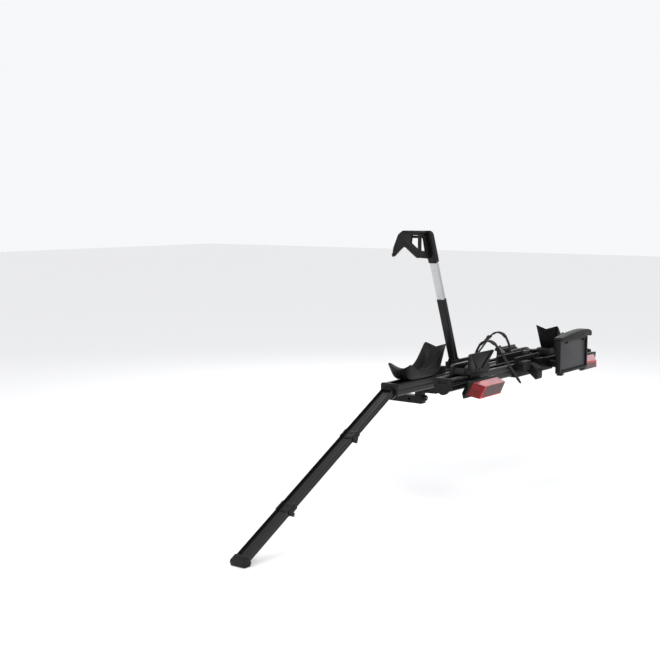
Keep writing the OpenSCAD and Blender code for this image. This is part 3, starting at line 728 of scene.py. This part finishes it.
# ---------------------------------------------------------------- tail lamps
def corners(node):
    """The eight corners of a CAD loft, front face first, each face from the lower outer corner on."""
    co = {tuple(round(c * 1000, 2) for c in v.co) for v in NODES[node].data.vertices}
    ys = sorted({c[1] for c in co})
    out = []
    for y in (ys[0], ys[-1]):
        face = [c for c in co if c[1] == y]
        z0 = min(c[2] for c in face)
        low = sorted([c for c in face if c[2] - z0 < 5], key=lambda c: -abs(c[0]))
        high = sorted([c for c in face if c[2] - z0 >= 5], key=lambda c: -abs(c[0]))
        out.append([low[0], low[1], high[1], high[0]])
    return out


def lens_rib(p, q, e, out):
    """A shallow ridge from p to q; e runs across it and out is away from the lens."""
    profile = ((-1.4, -0.6), (-0.7, 0.5), (0.7, 0.5), (1.4, -0.6))
    return rings("rib", [[tuple(c + e * u + out * v) for u, v in profile] for c in (p, q)])


# Front, back, bottom, inner side, top, outer side
FACES = [(0, 3, 2, 1), (4, 5, 6, 7), (0, 1, 5, 4), (1, 2, 6, 5), (2, 3, 7, 6), (3, 0, 4, 7)]
for side in ("left", "right"):
    node = f"lamp_lens_{side}"
    front, back = corners(node)
    # The top facet takes the pale lens colour as a painted highlight. The front and the underside take the dark
    # lens colour: on the front it is the lamp's own dark interior, on the underside it is painted shade.
    o = bevel(build(f"{node}_body", front + back, FACES, face_mats=[2, 0, 2, 0, 1, 0]), 2.2, 3, 20)
    finish_piece(o, node, [MAT["lens_red"], MAT["lens_top_painted_highlight"], MAT["lens_dark_and_underside_shade"]], smooth=30)
    # Ribs on the outer side facet
    f, b = [Vector(p) for p in front], [Vector(p) for p in back]
    ribs = []
    for i in range(1, 9):
        t = i / 9
        p, q = f[0].lerp(f[3], t), b[0].lerp(b[3], t)
        d = (q - p).normalized()
        p, q = p + d * 4, q - d * 4
        nrm = (q - p).cross(f[3] - f[0]).normalized()
        if nrm.x * p.x < 0:
            nrm.negate()
        e = (f[3] - f[0]).normalized()
        ribs.append(lens_rib(p, q, e, nrm))
    finish_piece(join(f"{node}_ribs", ribs), node, [MAT["lens_red"]], smooth=30, stands=False)
    node = f"lamp_housing_{side}"
    front, back = corners(node)
    o = bevel(build("shell", front + back, FACES), 5.0, 4, 20)
    finish_piece(join(f"{node}_shell", [o]), node, smooth=35)
# Light guides round the front of the lenses
parts = []
for side in ("left", "right"):
    low_out, low_in, top_in, top_out = [Vector(p) for p in corners(f"lamp_lens_{side}")[0]]
    y0 = low_out.y
    across = (low_in - low_out).normalized()
    upd = (top_out - low_out).normalized()
    if side == "left":
        p = [
            low_out, low_in, low_in + (top_in - low_in).normalized() * 7, low_out + upd * 7 + across * 9,
            top_out + across * 8, top_out,
        ]
    else:
        p = [
            low_out, top_out, top_in, top_in + (low_in - top_in).normalized() * 12,
            top_out + across * 17 - upd * 11, low_out + across * 18,
        ]
    line = rounded([(q.x, q.z) for q in p], [3, 2, 2, 3, 2, 2], 4)
    parts.append(prism("guide", line, y0 + 1.0, y0 - 1.4, "Y", width=0.6))
finish_piece(join("light_guide_rims", parts), "light_guides", smooth=40)

# ---------------------------------------------------------------- number plate holder
lo, hi = (v * 1000 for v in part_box("plate_frame"))
plo, phi = (v * 1000 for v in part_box("plate_blank"))
fx0, fx1, fz1 = lo.x, hi.x, hi.z
fz0 = plo.z - 15


def inset(by, r, n=6):
    """The plate's outline, drawn in by some millimetres."""
    return rect(plo.x + by, plo.z + by, phi.x - by, phi.z - by, r, n)


parts = [
    prism("border", rect(fx0, fz0, fx1, fz1, 9, 6), lo.y, hi.y, "Y", holes=[inset(0, 4, 5)], width=2.6),
    block("back", (plo.x - 2, phi.y, plo.z - 2), (phi.x + 2, hi.y - 2, phi.z + 2), width=1.0),
]
for x in (plo.x + 4, phi.x - 44):
    parts.append(block("foot", (x, lo.y, lo.z), (x + 40, hi.y, fz0 + 6), width=3.0))
finish_piece(join("plate_holder_frame", parts), "plate_frame", smooth=40)
o = prism("blank", inset(0.3, 4), plo.y, phi.y, "Y", width=0.6)
rim = prism("rim", inset(6, 6), plo.y - 0.8, plo.y + 0.6, "Y", holes=[inset(9, 5)], width=0.4)
finish_piece(join("blank_number_plate", [o, rim]), "plate_blank", smooth=40)
clo, chi = (v * 1000 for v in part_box("plate_cover"))
top = fz1
outline = [
    (clo.x, top), (clo.x + 3, top + 15), (140, top + 21), (236, top + 33), (352, top + 41), (420, top + 42),
    (470, top + 39), (chi.x - 10, top + 29), (chi.x, top + 18), (chi.x, top - 5), (chi.x - 19, top - 5),
    (chi.x - 26, top),
]
outline = rounded(outline, [2, 5, 30, 90, 90, 60, 40, 12, 7, 5, 5, 6], 6)
hood = prism("hood", outline, clo.y, chi.y, "Y", width=5.0, segments=4)
label = prism("blank_tab", rect(382, top + 7, 462, top + 24, 3, 4), clo.y - 0.2, clo.y + 4, "Y", width=0.6)
finish_piece(join("plate_holder_hood", [hood, label]), "plate_cover", smooth=40)

# ---------------------------------------------------------------- rear saddle and tilt lever
soften("saddle_2", "plastic_black", 2.4, weld=False)
llo, lhi = (v * 1000 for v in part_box("tilt_lever"))
py, pz = joint_at("release_lever").y, joint_at("release_lever").z
side = rounded(
    [
        (py + 18, pz + 14), (py + 18, pz - 28), (-896, llo.z), (llo.y, llo.z + 8), (llo.y, pz - 20),
        (py - 14, pz + 14),
    ],
    [10, 10, 5, 5, 14, 12], 5,
)
o = prism("paddle", side, llo.x, lhi.x, "X", width=3.2)
parts = [o]
for z in (224, 233, 242, 251):
    parts.append(block("rib", (llo.x + 8, llo.y - 0.4, z - 1.6), (lhi.x - 8, llo.y + 3, z + 1.6), width=0.9))
finish_piece(join("release_lever_paddle", parts), "tilt_lever", smooth=40)

# ---------------------------------------------------------------- hitch knob
klo, khi = (v * 1000 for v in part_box("hitch_knob"))
c = joint_at("knob_turn")
r = (khi.x - klo.x) / 2
y0, y1 = klo.y - c.y, khi.y - c.y
prof = [
    (y1, 8), (y1, 15), (y1 - 1.5, r - 1.5), (y1 - 4, r), (y0 + 4, r),
    (y0 + 1.2, r - 2), (y0, r - 5), (y0, 9), (y0 + 2, 7.5), (y0 + 2, 0.2),
]
knob = lathe("hitch_knob_grip", prof, c, (0, 1, 0), sides=72, lobes=8, depth=2.6)
finish_piece(knob, "hitch_knob", smooth=35)

# ---------------------------------------------------------------- loading ramp
HALF, LIP, LOW, DECK = 39.0, 3.0, -27.0, -9.0  # half width, top of the lips, underside and deck
GAP = 0.3  # between folding sections
RAMP_LENGTH = 1448.0
PIN_Z, EAR_RADIUS = -50, 10  # fold pins, and the ears round them


def channel(name, a, b):
    """A ramp section from a to b millimetres down the ramp."""
    wall = rounded(
        [
            (HALF - 6, LOW + 2), (HALF - 3.5, LOW), (HALF - 1, LOW), (HALF, LOW + 3), (HALF, -16),
            (HALF - 1.8, -14.5), (HALF - 1.8, -11), (HALF, -9.5), (HALF, LIP - 2.5), (HALF - 2, LIP),
            (HALF - 5, LIP), (HALF - 6.5, LIP - 2.5),
        ],
        [1, 2, 2, 2, 1, 0.6, 0.6, 1, 2.5, 2.5, 2.5, 2], 3,
    )
    parts = []
    for s in (1, -1):
        parts.append(prism("wall", [(s * y, z) for y, z in wall], -b, -a, "X", RAMP))
    deck = [(-HALF + 4, DECK - 3.5), (HALF - 4, DECK - 3.5), (HALF - 4, DECK), (-HALF + 4, DECK)]
    parts.append(prism("deck", deck, -b, -a, "X", RAMP))
    for y in (-22, 0, 22):
        tread = [(y - 1.2, DECK - 0.3), (y + 1.2, DECK - 0.3), (y + 1.0, DECK + 0.8), (y - 1.0, DECK + 0.8)]
        parts.append(prism("tread", rounded(tread, 0.4, 2), -b, -a, "X", RAMP))
    for y in (-16, 16):
        web = [(y - 1.5, DECK - 14), (y + 1.5, DECK - 14), (y + 1.5, DECK - 3), (y - 1.5, DECK - 3)]
        parts.append(prism("web", web, -b, -a, "X", RAMP))
    return join(name, parts)


f1, f2 = RAMP_FOLD
finish_piece(channel("ramp_section_upper", 20, f1 - GAP), "ramp_upper", smooth=30)
finish_piece(channel("ramp_section_middle", f1 + GAP, f2 - GAP), "ramp_middle", smooth=30)
finish_piece(channel("ramp_section_lower", f2 + GAP, RAMP_LENGTH - 18), "ramp_lower", smooth=30)


def fold_collar(at_, d, ear):
    """Collar round a section's end with the two ears of the fold."""
    a, b = at_ + d * 0.3, at_ + d * 32
    w = HALF + 4
    shell = rounded(
        [
            (w, LIP), (w, LOW - 2), (w - 2, LOW - 4), (-w + 2, LOW - 4), (-w, LOW - 2),
            (-w, LIP), (-w + 4, LIP), (-w + 4, LOW), (w - 4, LOW), (w - 4, LIP),
        ],
        [1.6, 3, 3, 3, 3, 1.6, 1, 0.6, 0.6, 1], 3,
    )
    parts = [prism("shell", shell, -a, -b, "X", RAMP, width=0.9)]
    band = rect(-HALF + 6, DECK - 1, HALF - 6, DECK + 3.2, 1.2, 3)
    parts.append(prism("band", band, -a, -b, "X", RAMP, width=0.8))
    for s in (1, -1):
        lip = rect(s * (HALF - 7.5), LIP - 4, s * (HALF + 3.5), LIP + 0.6, 1.2, 3)
        parts.append(prism("lip", lip, -a, -b, "X", RAMP, width=0.7))
    for y0, y1 in ((-ear - 7, -ear), (ear, ear + 7)):
        outline = [(-at_ - d * 31.5, LOW - 3), (-at_ - d * 1.2, LOW - 3)]
        for t in [math.radians(30 - i * 15) for i in range(14)]:
            outline.append((-at_ + d * EAR_RADIUS * math.cos(t), PIN_Z + EAR_RADIUS * math.sin(t)))
        parts.append(prism("ear", outline, y0, y1, "Y", RAMP, width=1.2))
    return parts


finish_piece(join("ramp_collar_upper_shell", fold_collar(f1, -1, 28)), "ramp_collar_upper", smooth=35)
finish_piece(
    join("ramp_collars_middle_shell", fold_collar(f1, 1, 20) + fold_collar(f2, -1, 20)),
    "ramp_collars_middle", smooth=35,
)
finish_piece(join("ramp_collar_lower_shell", fold_collar(f2, 1, 28)), "ramp_collar_lower", smooth=35)
plate = rounded([(-18, -3.5), (0, -4), (0, 1.5), (-18, 1.5)], 1, 3)
parts = [
    rod("bar", 4.5, (0, -26, 0), (0, 26, 0), RAMP, 1.0, 28),
    prism("plate", plate, -23, 23, "Y", RAMP, width=1.2),
    block("end", (-20, -HALF, LOW), (-16, HALF, LIP), RAMP, 1.4),
]
finish_piece(join("ramp_hook_plate", parts), "ramp_hook", smooth=40)
slope = abs(along.z / along.x)
sole = rounded(
    [
        (-RAMP_LENGTH + 52, LOW - 5), (-RAMP_LENGTH + 52, LIP + 2), (-RAMP_LENGTH + 8, LIP + 2),
        (-RAMP_LENGTH, -6), (-RAMP_LENGTH, -24.5), (-RAMP_LENGTH + 38, -24.5 - 38 * slope),
    ],
    [2, 3, 7, 6, 3, 4], 5,
)
foot = [prism("sole", sole, -HALF - 5, HALF + 5, "Y", RAMP, width=2.2)]
for x in (-RAMP_LENGTH + 24, -RAMP_LENGTH + 33, -RAMP_LENGTH + 42):
    foot.append(block("rib", (x - 1.6, -HALF - 3, LIP + 1), (x + 1.6, HALF + 3, LIP + 3.4), RAMP, 0.8))
finish_piece(join("ramp_rubber_foot", foot), "ramp_foot", smooth=40)

# ---------------------------------------------------------------- floor, light and camera
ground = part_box("ramp_foot")[0].z
bpy.ops.mesh.primitive_plane_add(size=60, location=(0, 0, ground))
floor = bpy.context.object
floor.name = "floor"
fm = bpy.data.materials.new("floor")
fm.use_nodes = True
fb = fm.node_tree.nodes["Principled BSDF"]
fb.inputs["Base Color"].default_value = (0.88, 0.88, 0.88, 1)
fb.inputs["Roughness"].default_value = 0.9
fb.inputs["Specular IOR Level"].default_value = 0.1
floor.data.materials.append(fm)

world = bpy.data.worlds.new("studio")
world.use_nodes = True
world.node_tree.nodes["Background"].inputs["Color"].default_value = (0.98, 0.985, 1.0, 1)
world.node_tree.nodes["Background"].inputs["Strength"].default_value = 0.95
bpy.context.scene.world = world
bpy.context.scene.view_settings.view_transform = "Standard"


def area(name, at, look, size, watts):
    d = bpy.data.lights.new(name, "AREA")
    d.size = size
    d.energy = watts
    o = bpy.data.objects.new(name, d)
    o.location = at
    o.rotation_mode = "QUATERNION"
    o.rotation_quaternion = (Vector(look) - Vector(at)).to_track_quat("-Z", "Y")
    bpy.context.scene.collection.objects.link(o)


# Where each light stands, what it looks at, its size and its watts
area("key", (-2.2, -3.6, 3.4), (-0.3, -0.6, 0.2), 2.6, 95)
area("fill", (-4.5, 0.6, 1.8), (-0.4, -0.5, 0.1), 2.6, 55)
area("rim", (2.6, 2.2, 3.2), (0, -0.5, 0.2), 2.6, 70)

cam_data = bpy.data.cameras.new("camera")
cam_data.lens, cam_data.sensor_width = 61.09, 36.0
cam_data.clip_end = 200
cam = bpy.data.objects.new("camera", cam_data)
cam.location = (-5.984, -3.893, 1.242)
cam.rotation_euler = (math.radians(90 - 6.418), 0, math.radians(37.243 - 90))
bpy.context.scene.collection.objects.link(cam)
bpy.context.scene.camera = cam

bpy.context.view_layer.update()
